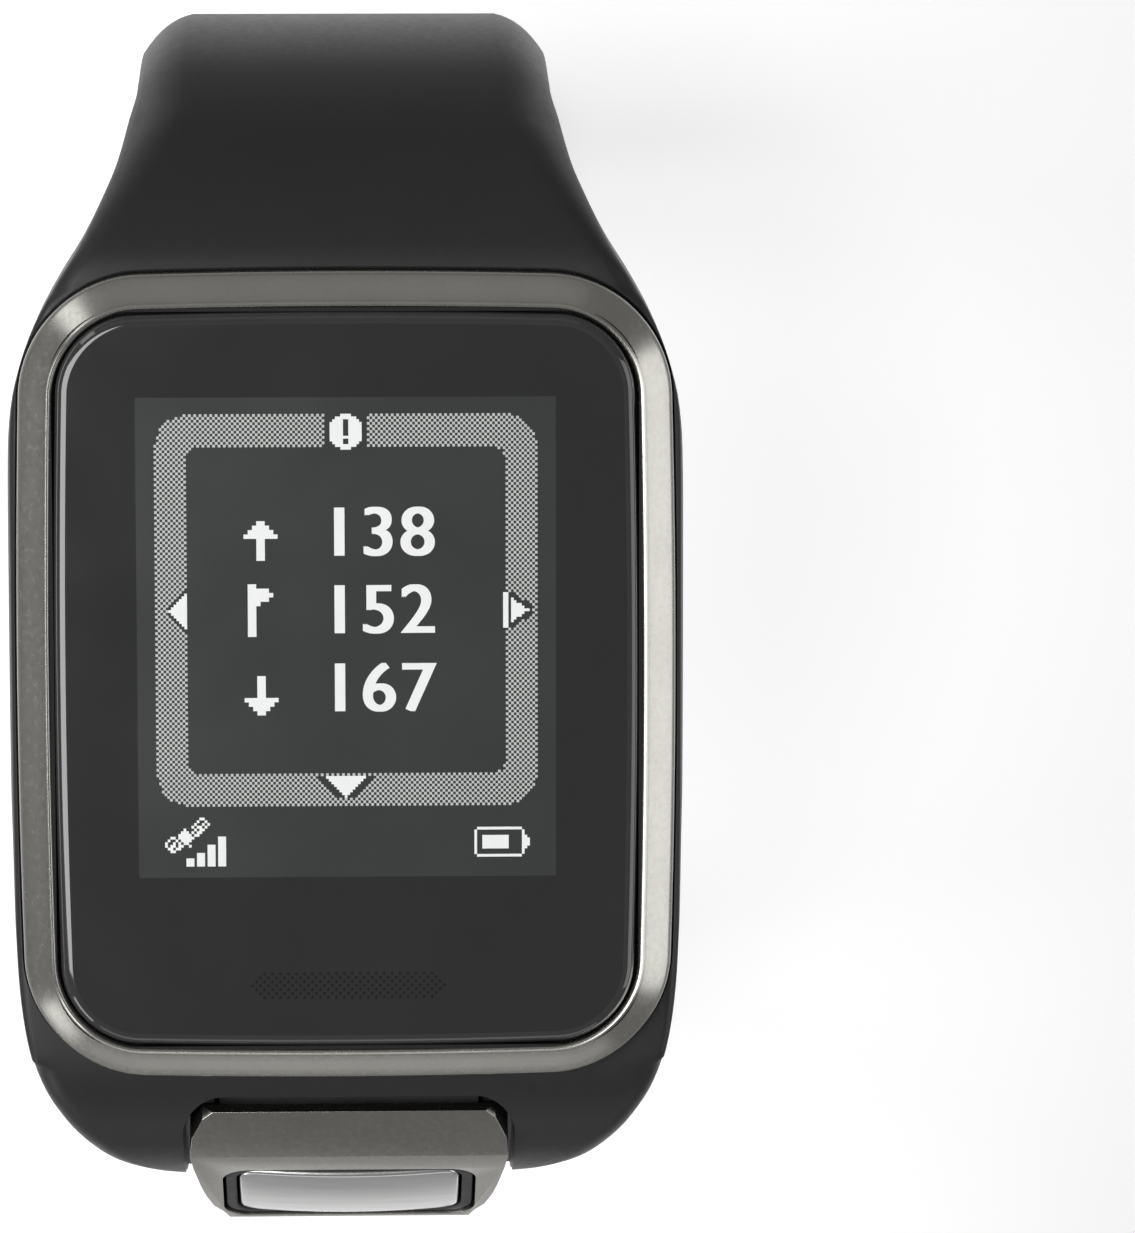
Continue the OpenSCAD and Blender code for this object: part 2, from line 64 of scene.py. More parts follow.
def material(name, base, rough=0.5, metal=0.0, coat=0.0, coat_rough=0.1, spec=0.5,
             grain=0.0, grain_size=0.2, vary=0.0, vary_size=3.0, rough_vary=0.0,
             stretch=(1, 1, 1)):
    """A Principled material with fine grain in its bump and slow changes of tone and gloss. Sizes in mm."""
    m = bpy.data.materials.new(name)
    m.use_nodes = True
    nt = m.node_tree
    b = nt.nodes["Principled BSDF"]
    b.inputs["Base Color"].default_value = (*base, 1)
    b.inputs["Roughness"].default_value = rough
    b.inputs["Metallic"].default_value = metal
    b.inputs["Coat Weight"].default_value = coat
    b.inputs["Coat Roughness"].default_value = coat_rough
    b.inputs["Specular IOR Level"].default_value = spec
    tc = nt.nodes.new("ShaderNodeTexCoord")
    mp = nt.nodes.new("ShaderNodeMapping")
    mp.inputs["Scale"].default_value = stretch
    nt.links.new(tc.outputs["Object"], mp.inputs["Vector"])

    def noise(size, detail):
        n = nt.nodes.new("ShaderNodeTexNoise")
        n.inputs["Scale"].default_value = 1000.0 / size
        n.inputs["Detail"].default_value = detail
        nt.links.new(mp.outputs["Vector"], n.inputs["Vector"])
        return n

    if grain:
        n = noise(grain_size, 3)
        bump = nt.nodes.new("ShaderNodeBump")
        bump.inputs["Strength"].default_value = grain
        bump.inputs["Distance"].default_value = grain_size * 0.25 * MM
        nt.links.new(n.outputs["Fac"], bump.inputs["Height"])
        nt.links.new(bump.outputs["Normal"], b.inputs["Normal"])
    if vary:
        n = noise(vary_size, 4)
        ramp = nt.nodes.new("ShaderNodeMapRange")
        ramp.inputs["From Min"].default_value = 0.3
        ramp.inputs["From Max"].default_value = 0.7
        ramp.inputs["To Min"].default_value = 1 - vary
        ramp.inputs["To Max"].default_value = 1 + vary
        mul = nt.nodes.new("ShaderNodeVectorMath")
        mul.operation = "SCALE"
        mul.inputs[0].default_value = base
        nt.links.new(n.outputs["Fac"], ramp.inputs["Value"])
        nt.links.new(ramp.outputs["Result"], mul.inputs["Scale"])
        nt.links.new(mul.outputs["Vector"], b.inputs["Base Color"])
    if rough_vary:
        n = noise(grain_size * 2.5, 2)
        rr = nt.nodes.new("ShaderNodeMapRange")
        rr.inputs["From Min"].default_value = 0.3
        rr.inputs["From Max"].default_value = 0.7
        rr.inputs["To Min"].default_value = max(0.02, rough - rough_vary)
        rr.inputs["To Max"].default_value = min(1, rough + rough_vary)
        nt.links.new(n.outputs["Fac"], rr.inputs["Value"])
        nt.links.new(rr.outputs["Result"], b.inputs["Roughness"])
    return m


RUBBER = material("strap_rubber", (0.0170, 0.0170, 0.0173), 0.44, spec=0.42, grain=0.05, grain_size=0.16,
                  vary=0.05, vary_size=9, rough_vary=0.03)
BEZEL = material("bezel_satin_metal", (0.50, 0.49, 0.455), 0.25, metal=1, grain=0.006, grain_size=0.12,
                 vary=0.03, vary_size=2.5, rough_vary=0.03)
CHIN = material("chin_satin_metal", (0.45, 0.44, 0.41), 0.25, metal=1, grain=0.006, grain_size=0.12,
                vary=0.03, vary_size=2.0, rough_vary=0.03)
PAD = material("pad_brushed_metal", (0.78, 0.78, 0.775), 0.22, metal=1, grain=0.02, grain_size=0.12,
               vary=0.03, vary_size=0.8, rough_vary=0.04, stretch=(0.08, 1, 1))
PRINT = material("glass_print", (0.0240, 0.0240, 0.0245), 0.12, vary=0.03, vary_size=8,
                 rough_vary=0.02, grain_size=2.0)
RIM = material("glass_rim", (0.030, 0.030, 0.031), 0.07, spec=0.6, vary=0.03, vary_size=4, coat=0.6,
               coat_rough=0.03)
LCD = material("display_off", (0.0400, 0.0430, 0.0420), 0.17, vary=0.02, vary_size=5,
               rough_vary=0.02, grain_size=2.0)
LIT = material("display_lit", (0.90, 0.91, 0.90), 0.35, spec=0.3, vary=0.02, vary_size=2)
DIM = material("display_dither", (0.56, 0.57, 0.56), 0.35, spec=0.3, vary=0.02, vary_size=2)
# near-black grille dots: painted shade where the sound holes are dark inside
HOLE_SHADE = material("grille_painted_hole_shade", (0.0045, 0.0045, 0.0045), 0.6, spec=0.2, vary=0.05, vary_size=1)
GASKET = material("gasket_rubber", (0.006, 0.006, 0.006), 0.6, spec=0.3, grain=0.2, grain_size=0.2, vary=0.1)
PLASTIC = material("inner_plastic", (0.030, 0.030, 0.032), 0.5, grain=0.2, grain_size=0.3, vary=0.1,
                   rough_vary=0.05)
BACK = material("back_plastic", (0.022, 0.022, 0.024), 0.42, grain=0.35, grain_size=0.25, vary=0.08,
                rough_vary=0.06)
STEEL = material("steel", (0.62, 0.62, 0.61), 0.28, metal=1, grain=0.02, grain_size=0.2, vary=0.06,
                 rough_vary=0.06)
BUCKLE = material("buckle_steel", (0.50, 0.50, 0.48), 0.30, metal=1, grain=0.02, grain_size=0.15, vary=0.05,
                  vary_size=2, rough_vary=0.05, stretch=(0.15, 1, 1))
GOLD = material("contact_gold", (0.80, 0.58, 0.24), 0.25, metal=1, grain=0.05, grain_size=0.2, vary=0.05,
                rough_vary=0.05)
BOARD = material("circuit_board", (0.02, 0.10, 0.05), 0.35, grain=0.2, grain_size=0.6, vary=0.2,
                 vary_size=1.2, coat=0.4)
BATTERY = material("battery_foil", (0.55, 0.56, 0.57), 0.35, metal=0.9, grain=0.3, grain_size=0.8, vary=0.06)
CERAMIC = material("antenna_ceramic", (0.70, 0.64, 0.53), 0.45, grain=0.2, grain_size=0.2, vary=0.05)
FLEX = material("flex_cable", (0.42, 0.20, 0.04), 0.3, vary=0.1, vary_size=1, coat=0.3)
GUIDE = material("light_guide", (0.80, 0.82, 0.83), 0.15, vary=0.03, vary_size=4, coat=0.5)

# ---------------------------------------------------------------- mesh helpers


def link(name, data):
    o = bpy.data.objects.new(name, data)
    bpy.context.scene.collection.objects.link(o)
    return o


def mesh_of(name, verts, faces):
    """A mesh from points in mm."""
    me = bpy.data.meshes.new(name)
    me.from_pydata([tuple(c * MM for c in v) for v in verts], [], faces)
    return me


def face_outward(me):
    bm = bmesh.new()
    bm.from_mesh(me)
    bmesh.ops.recalc_face_normals(bm, faces=bm.faces)
    bm.to_mesh(me)
    bm.free()


def raw(name, verts, faces):
    """A plain solid, for cutting or for work before place()."""
    o = link(name, mesh_of(name, verts, faces))
    face_outward(o.data)
    return o


def place(name, me, mat, body, replaces=(), angle=40, ride=True):
    """A finished piece: smooth up to the sharp angle, on its body, for the nodes it replaces."""
    o = link(name, me)
    me.materials.clear()
    me.materials.append(mat)
    face_outward(me)
    for p in me.polygons:
        p.use_smooth = True
    me.set_sharp_from_angle(angle=math.radians(angle))
    if ride:
        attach(o, body)
    if replaces:
        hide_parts(*replaces)
    return o


def add(name, skin, mat, body, replaces=(), angle=40):
    """A finished piece from its (verts, faces)."""
    me = mesh_of(name, *skin)
    me.validate()
    return place(name, me, mat, body, replaces, angle)


def take_mesh(o):
    """The mesh of an object, which is dropped."""
    me = o.data
    bpy.data.objects.remove(o)
    return me


def apply_modifiers(o):
    dg = bpy.context.evaluated_depsgraph_get()
    me = bpy.data.meshes.new_from_object(o.evaluated_get(dg))
    old = o.data
    o.modifiers.clear()
    o.data = me
    if old.users == 0:
        bpy.data.meshes.remove(old)
    return o


def cut(me_obj, cutters):
    """Subtract each cutter mesh object from me_obj, exactly, then drop the cutters."""
    for c in cutters:
        md = me_obj.modifiers.new("cut", "BOOLEAN")
        md.operation = "DIFFERENCE"
        md.solver = "EXACT"
        md.object = c
    apply_modifiers(me_obj)
    for c in cutters:
        bpy.data.objects.remove(c)
    return me_obj


def stack(loops, close_start=True, close_end=True, around=False):
    """Verts and faces of a skin over equal closed loops. around joins the last loop to the first."""
    n = len(loops[0])
    verts = [p for loop in loops for p in loop]
    faces = []
    steps = [(i * n, (i + 1) * n) for i in range(len(loops) - 1)]
    last = (len(loops) - 1) * n
    if around:
        steps.append((last, 0))
    for a, b in steps:
        for j in range(n):
            k = (j + 1) % n
            faces.append((a + j, a + k, b + k, b + j))
    if close_start and not around:
        faces.append(tuple(range(n))[::-1])
    if close_end and not around:
        faces.append(tuple(range(last, last + n)))
    return verts, faces


def outline(w, l, r, inset=0.0, corner=14, side=8, bow=True):
    """Points round a rounded rectangle; bow gives it the watch's slightly bowed sides."""
    hx, hy, q = w / 2 - r, l / 2 - r, r - inset
    corners = ((hx, hy, 0), (-hx, hy, 90), (-hx, -hy, 180), (hx, -hy, 270))
    side_ends = ((-hx, hy + q), (-hx - q, -hy), (hx, -hy - q), (hx + q, hy))
    pts = []
    for (cx, cy, a0), (ex, ey) in zip(corners, side_ends):
        for k in range(corner + 1):
            a = math.radians(a0 + 90 * k / corner)
            pts.append((cx + q * math.cos(a), cy + q * math.sin(a)))
        sx, sy = pts[-1]
        for k in range(1, side):
            f = k / side
            pts.append((sx + (ex - sx) * f, sy + (ey - sy) * f))
    if bow:
        pts = [(x - x / (w / 2) * y * y / BOW_SIDES, y - y / (l / 2) * x * x / BOW_ENDS) for x, y in pts]
    return pts


def ring(profile, w, l, r, **kw):
    """Loops of a rounded rectangle at each (inset, height) of a profile."""
    return [[(x, y, z) for x, y in outline(w, l, r, i, **kw)] for i, z in profile]


def cad_copy(node):
    """A copy of a CAD node's mesh and its bmesh, with doubled points and flat facets merged."""
    me = nodes[node].data.copy()
    bm = bmesh.new()
    bm.from_mesh(me)
    bmesh.ops.remove_doubles(bm, verts=bm.verts, dist=2e-6)
    bmesh.ops.dissolve_limit(bm, angle_limit=math.radians(0.6), verts=bm.verts, edges=bm.edges)
    return me, bm


def bevelled(name, me, bm, width, segments, limit):
    """The mesh with its sharp or weighted edges rounded off, from its bmesh."""
    bm.to_mesh(me)
    bm.free()
    o = link(name, me)
    md = o.modifiers.new("round", "BEVEL")
    md.width = width * MM
    md.segments = segments
    md.limit_method = limit
    md.angle_limit = math.radians(32)
    md.use_clamp_overlap = True
    apply_modifiers(o)
    return take_mesh(o)


def soften(node, width, mat, body, segments=2):
    """A copy of a CAD node with its sharp edges rounded off, which stands for it."""
    name = node + "_skin"
    me, bm = cad_copy(node)
    return place(name, bevelled(name, me, bm, width, segments, "ANGLE"), mat, body, (node,), 38)


def lerp(table, x):
    """Smooth interpolation in a table of (x, value), by monotone cubic pieces."""
    t = sorted(table)
    if x <= t[0][0]:
        return t[0][1]
    if x >= t[-1][0]:
        return t[-1][1]
    i = max(k for k in range(len(t) - 1) if t[k][0] <= x)
    (x0, y0), (x1, y1) = t[i], t[i + 1]

    def rise(j):
        return (t[j + 1][1] - t[j][1]) / (t[j + 1][0] - t[j][0])

    def slope(k):
        if k <= 0 or k >= len(t) - 1:
            return rise(0 if k <= 0 else len(t) - 2)
        p, q = rise(k - 1), rise(k)
        return 2 * p * q / (p + q) if p * q > 0 else 0.0

    h = x1 - x0
    f = (x - x0) / h
    return ((2 * f**3 - 3 * f**2 + 1) * y0 + (f**3 - 2 * f**2 + f) * h * slope(i)
            + (-2 * f**3 + 3 * f**2) * y1 + (f**3 - f**2) * h * slope(i + 1))

# ---------------------------------------------------------------- sizes shared by the sections, in mm

BEZEL_W, BEZEL_L = 34.9, 43.3
GLASS_W, GLASS_L, GLASS_R, GLASS_Z = 30.9, 39.3, 4.1, 13.15
BOW_SIDES, BOW_ENDS = 1120, 840  # divisors: how little the long and the short sides bow
PAD_W, PAD_H, PAD_R = 12.0, 6.0, 1.0
FACE_Y, FACE_Z = -29.3, 4.8  # middle of the button face, which leans down by TILT
TILT = math.radians(57)
PAD_Y = -0.8  # the pad's middle, along the face

# ---------------------------------------------------------------- strap and strap frame

T = 3.2  # strap thickness
HALF_W, END_W = 11.0, 20.0  # half the strap's width at the frame, its whole width at the buckle and tail
U1 = (32.35, -8.5)  # (y, z) of the upper strap's first flex axis
UR, U2A = 20.0, 30.0  # radius and angle of the arc from there to the second
U2 = (U1[0] - UR + UR * math.cos(math.radians(U2A)), U1[1] - UR * math.sin(math.radians(U2A)))
BAR_S = 17  # from the second flex axis to the spring bar
BAR = (U2[0] - BAR_S * math.sin(math.radians(U2A)), U2[1] - BAR_S * math.cos(math.radians(U2A)))
L1 = (-28.6, -8.0)  # the lower strap's first flex axis
LZ, LR = -36.6, 16.0  # height at which the lower strap starts to bend, and the bend's radius
L2 = (-8.0, -52.6)  # its second flex axis, on the floor
TAIL, TIP_R = 30.0, 14.0  # y of the tail's tip, and the tip's radius

# half widths of the strap frame: by y seen from above, and by z seen from the end
PLAN = [(36, 11.1), (30.5, 11.15), (28.9, 11.55), (26.9, 12.1), (24.9, 12.95), (22.8, 14.0), (20.7, 15.3),
        (18.6, 16.45), (16.4, 17.25), (14.2, 17.8), (12, 18.02), (9, 18.08), (0, 18.1), (-6, 18.08),
        (-9.4, 18.0), (-13.7, 17.9), (-16, 17.75), (-18.2, 17.5), (-20.4, 17.1), (-22.6, 16.4),
        (-24.8, 15.2), (-26.4, 14.0), (-27.4, 13.05), (-28.4, 11.3), (-29.0, 9.4), (-29.4, 8.4)]
FRONT = [(-9, 11.1), (-1.5, 11.35), (0.6, 15.9), (1.4, 16.4), (3.2, 17.45), (6.0, 18.2), (8.6, 18.25),
         (10.0, 18.0), (10.7, 17.7)]


CORNER_POWER = 80  # how sharply the plan and the front outline meet


def half_width(y, z):
    """Half the frame's width: the smaller of its plan and its front outline, with a rounded change."""
    plan = lerp(PLAN, y)
    if y < -26:
        f = min(1, max(0, (z + 1.5) / 4.5))
        plan = 11.05 + (plan - 11.05) * f * f * (3 - 2 * f)
    front = lerp(FRONT, z) if z < 11 else 18.1
    return (plan**-CORNER_POWER + front**-CORNER_POWER) ** (-1 / CORNER_POWER)


# outer and inner points in (y, z), from the lower strap's root to the upper strap's root
OUTER = [(-30.2, -8.0), (-30.15, -6.5), (-30.0, -5.0), (-29.85, -3.4), (-29.65, -1.5), (-29.35, 0.5),
         (-29.0, 2.4),
         (-28.5, 4.2), (-27.7, 6.0), (-26.6, 7.7), (-25.3, 9.0), (-23.6, 10.0), (-21.9, 10.6), (-20, 10.75)]
INNER = [(-27.0, -8.0), (-26.9, -7.0), (-26.6, -6.0), (-26.1, -5.0), (-25.4, -4.0), (-24.5, -2.9),
         (-23.6, -2.0),
         (-22.7, -1.3), (-21.8, -0.75), (-21.0, -0.35), (-20.3, 0.0), (-19.8, 0.3), (-19.3, 0.5),
         (-18.7, 0.6)]
MID = [(y, 10.75, y * 0.94, 0.6) for y in (-17, -14, -11, -7, -3, 1, 5, 9, 12, 15, 17.5)]
UP_O = [(20, 10.75), (22, 10.6), (23.4, 10.0), (24.8, 9.15), (26.2, 8.1), (27.5, 7.0), (28.8, 5.7), (30, 4.2),
        (31, 2.7), (31.9, 1.1), (32.6, -0.6), (33.15, -2.4), (33.55, -4.3), (33.82, -6.3), (33.95, -8.5)]
UP_I = [(19.0, 0.6), (20.0, 0.75), (21.0, 0.8), (22.2, 0.75), (23.4, 0.6), (24.5, 0.35), (25.6, 0.0),
        (26.6, -0.5), (27.5, -1.15), (28.3, -2.0), (29.0, -3.0), (29.6, -4.1), (30.1, -5.3), (30.5, -6.8),
        (30.75, -8.5)]


def section(o, i, bevel, width):
    """One closed cross-section between an outer and an inner point of the skin.

    bevel is (inset, depth, shape, inner radius): shape 1 is a round edge, 1.4 a hollowed one.
    """
    dy, dz = i[0] - o[0], i[1] - o[1]
    t = math.hypot(dy, dz)
    dy, dz = dy / t, dz / t
    be, bt, shape, bi = bevel
    pts = []
    for f in (0.0, 0.2, 0.4, 0.6, 0.8, 0.93):
        pts.append((f, None, 0.0))
    for k in range(0, 9):
        a = math.radians(90 * k / 8)
        g, h = k / 8, min(1, (shape - 1) / 0.4)
        pts.append((None, (1 - h) * be * (1 - math.sin(a)) + h * be * (1 - g),
                    (1 - h) * bt * (1 - math.cos(a)) + h * bt * (0.28 * g + 0.72 * g**2.3)))
    for f in (0.2, 0.4, 0.6, 0.8):
        pts.append((None, 0.0, bt + (t - bi - bt) * f))
    for k in range(0, 5):
        a = math.radians(90 * k / 4)
        pts.append((None, bi * (1 - math.cos(a)), t - bi + bi * math.sin(a)))
    for f in (0.8, 0.5, 0.2, 0.0):
        pts.append((f, None, t))
    right = []
    for f, inset, d in pts:
        y, z = o[0] + dy * d, o[1] + dz * d
        w = width(y, z)
        if f is not None:
            edge = w - (be if d == 0 else bi)
            x = edge * f
        else:
            x = w - inset
        right.append((x, y, z))
    left = [(-x, y, z) for x, y, z in right[1:-1]][::-1]
    return right + left


def frame_bevel(o):
    """The frame's edge: wide on both strap roots, small along the bezel."""
    y, z = o
    if y > 20:
        f = min(1, max(0, (y - 22) / 7.5))
        return (1.0 + 1.6 * f, 0.7 + 1.4 * f, 1.15 + 0.25 * f, 0.9 - 0.3 * f)
    if y < -21:
        f = min(1, max(0, (3 - z) / 7))
        return (1.3 + 1.2 * f, 1.2 + 0.8 * f, 1.1 + 0.25 * f, 0.8)
    return (0.45, 0.45, 1.0, 1.0)


def resample(stations, n=4, passes=6):
    """Stations along a smooth path through the given ones; the ends stay where they are."""
    p = [tuple(a) + tuple(b) for a, b in stations]
    p = [p[0]] + p + [p[-1]]
    out = []
    for i in range(1, len(p) - 2):
        for k in range(n):
            u = k / n
            out.append([0.5 * (2 * b + (c - a) * u + (2 * a - 5 * b + 4 * c - d) * u * u
                               + (3 * b - a - 3 * c + d) * u**3)
                        for a, b, c, d in zip(p[i - 1], p[i], p[i + 1], p[i + 2])])
    out.append(list(p[-1]))
    for _ in range(passes):
        out = [out[0]] + [[(a + 2 * b + c) / 4 for a, b, c in zip(out[i - 1], out[i], out[i + 1])]
                          for i in range(1, len(out) - 1)] + [out[-1]]
    return [((q[0], q[1]), (q[2], q[3])) for q in out]


def split_at(stations, y_or_z, axis):
    """Cut a run where its outer edge passes a level, with close stations on both sides of the cut."""
    for i in range(1, len(stations)):
        a, b = stations[i - 1][0][axis], stations[i][0][axis]
        if (a - y_or_z) * (b - y_or_z) <= 0 and a != b:
            f = (y_or_z - a) / (b - a)

            def mix(g):
                p, q = stations[i - 1], stations[i]
                return tuple(tuple(m + (n - m) * g for m, n in zip(u, v)) for u, v in zip(p, q))

            d = min(0.12 / abs(b - a), 0.25)
            cut_here, before, after = mix(f), mix(max(0.02, f - d)), mix(min(0.98, f + d))
            return stations[:i] + [before, cut_here], [cut_here, after] + stations[i:]
    raise ValueError("the run doesn't pass that level")


def arc_station(c, r, a):
    """Outer and inner points at an angle, in degrees, down an arc of the strap."""
    ca, sa = math.cos(math.radians(a)), math.sin(math.radians(a))
    return ((c[0] + (r + T / 2) * ca, c[1] - (r + T / 2) * sa),
            (c[0] + (r - T / 2) * ca, c[1] - (r - T / 2) * sa))


def line_station(p, a, s, t=T):
    """Outer and inner points at a distance s along a straight of the strap."""
    ca, sa = math.cos(math.radians(a)), math.sin(math.radians(a))
    y, z = p[0] - s * sa, p[1] - s * ca
    return ((y + t / 2 * ca, z - t / 2 * sa), (y - t / 2 * ca, z + t / 2 * sa))


def flip(st):
    return tuple((-y, z) for y, z in st)


def upper_width(z):
    return HALF_W - min(1.0, max(0.0, (U1[1] - z) / (U1[1] - U2[1])))


def lower_width(z):
    return HALF_W - min(1.0, max(0.0, (L1[1] - z) / (L1[1] - LZ - 2)))


def tail_width(y):
    d = y - (TAIL - TIP_R)
    return max(0.6, min(END_W / 2, math.sqrt(max(0.0, TIP_R**2 - d * d)))) if d > 0 else END_W / 2


def width_at(y, z):
    """Half the width of the whole strap and frame at a point of its skin."""
    if z < -50 and y > L2[0]:
        return tail_width(y)
    if z < U1[1]:
        return upper_width(z) if y > 0 else lower_width(z)
    return half_width(y, z)


def bevel_at(o, i):
    """The edge of the strap below its roots, or the frame's."""
    t = math.hypot(o[0] - i[0], o[1] - i[1])
    if o[1] < -8.2:
        w = width_at(*o)
        return (min(2.6, w * 0.6), min(2.1, 0.66 * t), 1.4, min(0.6, 0.3 * t))
    return frame_bevel(o)


# stations of the whole strap, from the tail's tip to the spring bar, cut into its five runs
low = [flip(arc_station((-L1[0] - LR, LZ), LR, a)) for a in range(90, -1, -9)]
low += [flip(line_station((-L1[0], L1[1]), 0, s)) for s in (25, 20, 15, 10, 6, 4, 2.5, 1)]
mid = [((y, zo), (yi, zi)) for y, zo, yi, zi in MID]
ends = [((y, L2[1] - T / 2), (y, L2[1] + T / 2)) for y in
        (24, 20, 16, 12, 8, 4, 0, -3, -5.5, -7, -8, -9, -10.5)]
tip = [29.97, 29.93, 29.85, 29.7, 29.45, 29.1, 28.7, 28.2, 27.6, 26.9, 26.2, 25.5]
lead = []
for y in tip:
    q = T / 2 * (1 - 0.5 * max(0, (y - 28.9) / 1.07) ** 3)
    lead.append(((y, L2[1] - q), (y, L2[1] + q)))
arc = [arc_station((U1[0] - UR, U1[1]), UR, a) for a in range(2, 31, 2)]
drop = [line_station(U2, U2A, s) for s in (1.2, 2.5, 4, 6, 8, 10, 12, 13.6, 15.0, 16.0)]
close = [line_station(U2, U2A, BAR_S + s, t)
         for s, t in ((0.0, 3.18), (0.5, 3.0), (0.95, 2.55), (1.3, 1.85), (1.5, 1.0))]

whole = resample(ends + low + list(zip(OUTER, INNER)) + mid + list(zip(UP_O, UP_I)) + arc + drop)
whole = lead + whole + close
tail_run, rest_run = split_at(whole, -10.0, 0)
lower_run, rest_run = split_at(rest_run, -5.5, 1)
# the frame ends on the upper root, past y = 30, where the skin comes down to z = -3
k = next(i for i, st in enumerate(rest_run) if st[0][0] > 30)
frame_run, upper_run = split_at(rest_run[k:], -3.0, 1)
frame_run = rest_run[:k] + frame_run
near_run, end_run = split_at(upper_run, U1[1] - (UR + T / 2) * math.sin(math.radians(U2A / 2)), 1)


def skin_of(name, stations):
    """A closed skin over a run of stations."""
    return raw(name, *stack([section(o, i, bevel_at(o, i), width_at) for o, i in stations]))


skin = skin_of("strap_frame_raw", frame_run)


def prism(name, pts, z0, z1):
    return raw(name, *stack([[(x, y, z0) for x, y in pts], [(x, y, z1) for x, y in pts]]))


def side_prism(name, pts, x0, x1):
    return raw(name, *stack([[(x0, y, z) for y, z in pts], [(x1, y, z) for y, z in pts]]))


def notch_loop(d, y0, y1):
    """The opening round the metal chin, in the button face's frame, with rounded corners."""
    right = [(8.95, y0), (8.95, 4.2)]
    right += [(6.8 + 2.15 * math.cos(math.radians(a)), y1 - 2.3 + 2.3 * math.sin(math.radians(a)))
              for a in range(0, 91, 9)]
    return [(x, y, d) for x, y in right] + [(-x, y, d) for x, y in right[::-1]]


def face_point(x, y, z):
    """From the button face's frame to the row frame, in mm."""
    return (x, FACE_Y + y * math.cos(TILT) - z * math.sin(TILT),
            FACE_Z + y * math.sin(TILT) + z * math.cos(TILT))


cutters = [
    prism("bezel_seat", outline(BEZEL_W + 0.3, BEZEL_L + 0.3, 6.45), 9.8, 14),
    prism("module_hollow", outline(31.5, 39.3, 5.15, bow=False), -2, 13),
    side_prism("cable_way", [(-18, 1.2), (-28, 1.2), (-24, 7.3), (-23.6, 8.3), (-18, 8.3)], -7.3, 7.3),
    raw("chin_notch", *stack([[face_point(*p) for p in notch_loop(d, -7.6, 7.95)] for d in (-3.9, 6.0)])),
]
cut(skin, cutters)
place("strap_frame_skin", take_mesh(skin), RUBBER, "watch", ("strap_frame",), 42)


def finish_skin(o, name, replaced):
    return place(name, take_mesh(o), RUBBER, None, (replaced,), 42, ride=False)


# upper strap, first run: from the frame across the first flex axis
o = finish_skin(skin_of("run", near_run), "strap_upper_near", "strap_upper_1")
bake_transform(o)

# upper strap, second run: across the second flex axis, down to the spring bar
o = skin_of("run", end_run)
ca, sa = math.cos(math.radians(U2A)), math.sin(math.radians(U2A))


def strap_point(x, d, s):
    """Across, outward and along the straight end of the upper strap."""
    return (x, U2[0] - s * sa + d * ca, U2[1] - s * ca - d * sa)


tongue_slot = [(1.6 * math.cos(math.pi * k / 12),
                11.6 + 1.6 - 1.6 * math.sin(math.pi * k / 12)) for k in range(13)]
tongue_slot += [(-1.6, 20.0), (1.6, 20.0)]
c = raw("tongue_slot", *stack([[strap_point(x, d, s) for x, s in tongue_slot] for d in (-4, 4)]))
bar_hole = [(BAR[0] + 0.9 * math.cos(math.tau * k / 24),
             BAR[1] + 0.9 * math.sin(math.tau * k / 24)) for k in range(24)]
cut(o, [c, side_prism("bar_hole", bar_hole, -14, 14)])
o = finish_skin(o, "strap_upper_end", "strap_upper_2")
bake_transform(o)

# lower strap, first run: down, round the bend and onto the floor
o = finish_skin(skin_of("run", lower_run), "strap_lower_near", "strap_lower_1")
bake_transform(o)

# lower strap, second run: flat on the floor, with the holes and a round tip
o = skin_of("run", tail_run)
HOLE_R, HOLE_PITCH = 1.1, 4.5
holes = []
for k in range(6):
    pts = [(HOLE_R * math.cos(math.tau * j / 28), k * HOLE_PITCH + HOLE_R * math.sin(math.tau * j / 28))
           for j in range(28)]
    holes.append(prism("hole_%d" % k, pts, L2[1] - 4, L2[1] + 4))
cut(o, holes)
o = finish_skin(o, "strap_lower_end", "strap_lower_2")
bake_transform(o)

# ---------------------------------------------------------------- bezel, glass and display

profile = [(1.86, 9.9), (0.12, 9.9), (0.0, 10.02), (0.0, 11.50), (0.03, 11.62), (0.11, 11.74), (0.22, 11.84),
           (0.6, 12.15), (1.0, 12.47), (1.38, 12.78), (1.47, 12.86), (1.54, 12.93), (1.60, 12.965),
           (1.66, 12.955),
           (1.72, 12.91), (1.82, 12.78), (1.86, 12.66), (1.86, 12.3), (1.86, 11.75)]
add("bezel_skin", stack(ring(profile, BEZEL_W, BEZEL_L, 6.3, corner=20, side=12), around=True), BEZEL,
    "watch",
    ("bezel",), 30)


def glass_rings(profile):
    return ring(profile, GLASS_W, GLASS_L, GLASS_R, corner=20, side=12)


profile = [(0.5, 11.9), (0.0, 11.95), (0.0, 12.72), (0.03, 12.80), (0.09, 12.86)]
add("cover_glass_edge", stack(glass_rings(profile), True, False), RIM, "watch", (), 50)
profile = [(0.09, 12.86), (0.20, 12.975), (0.33, 13.08), (0.41, 13.125), (0.50, 13.145), (0.62, GLASS_Z)]
add("cover_glass_rim", stack(glass_rings(profile), False, False), RIM, "watch", (), 60)
profile = [(0.62, GLASS_Z), (0.9, GLASS_Z), (1.6, GLASS_Z)]
add("cover_glass_print", stack(glass_rings(profile), False, True), PRINT, "watch",
    ("cover_glass",), 50)

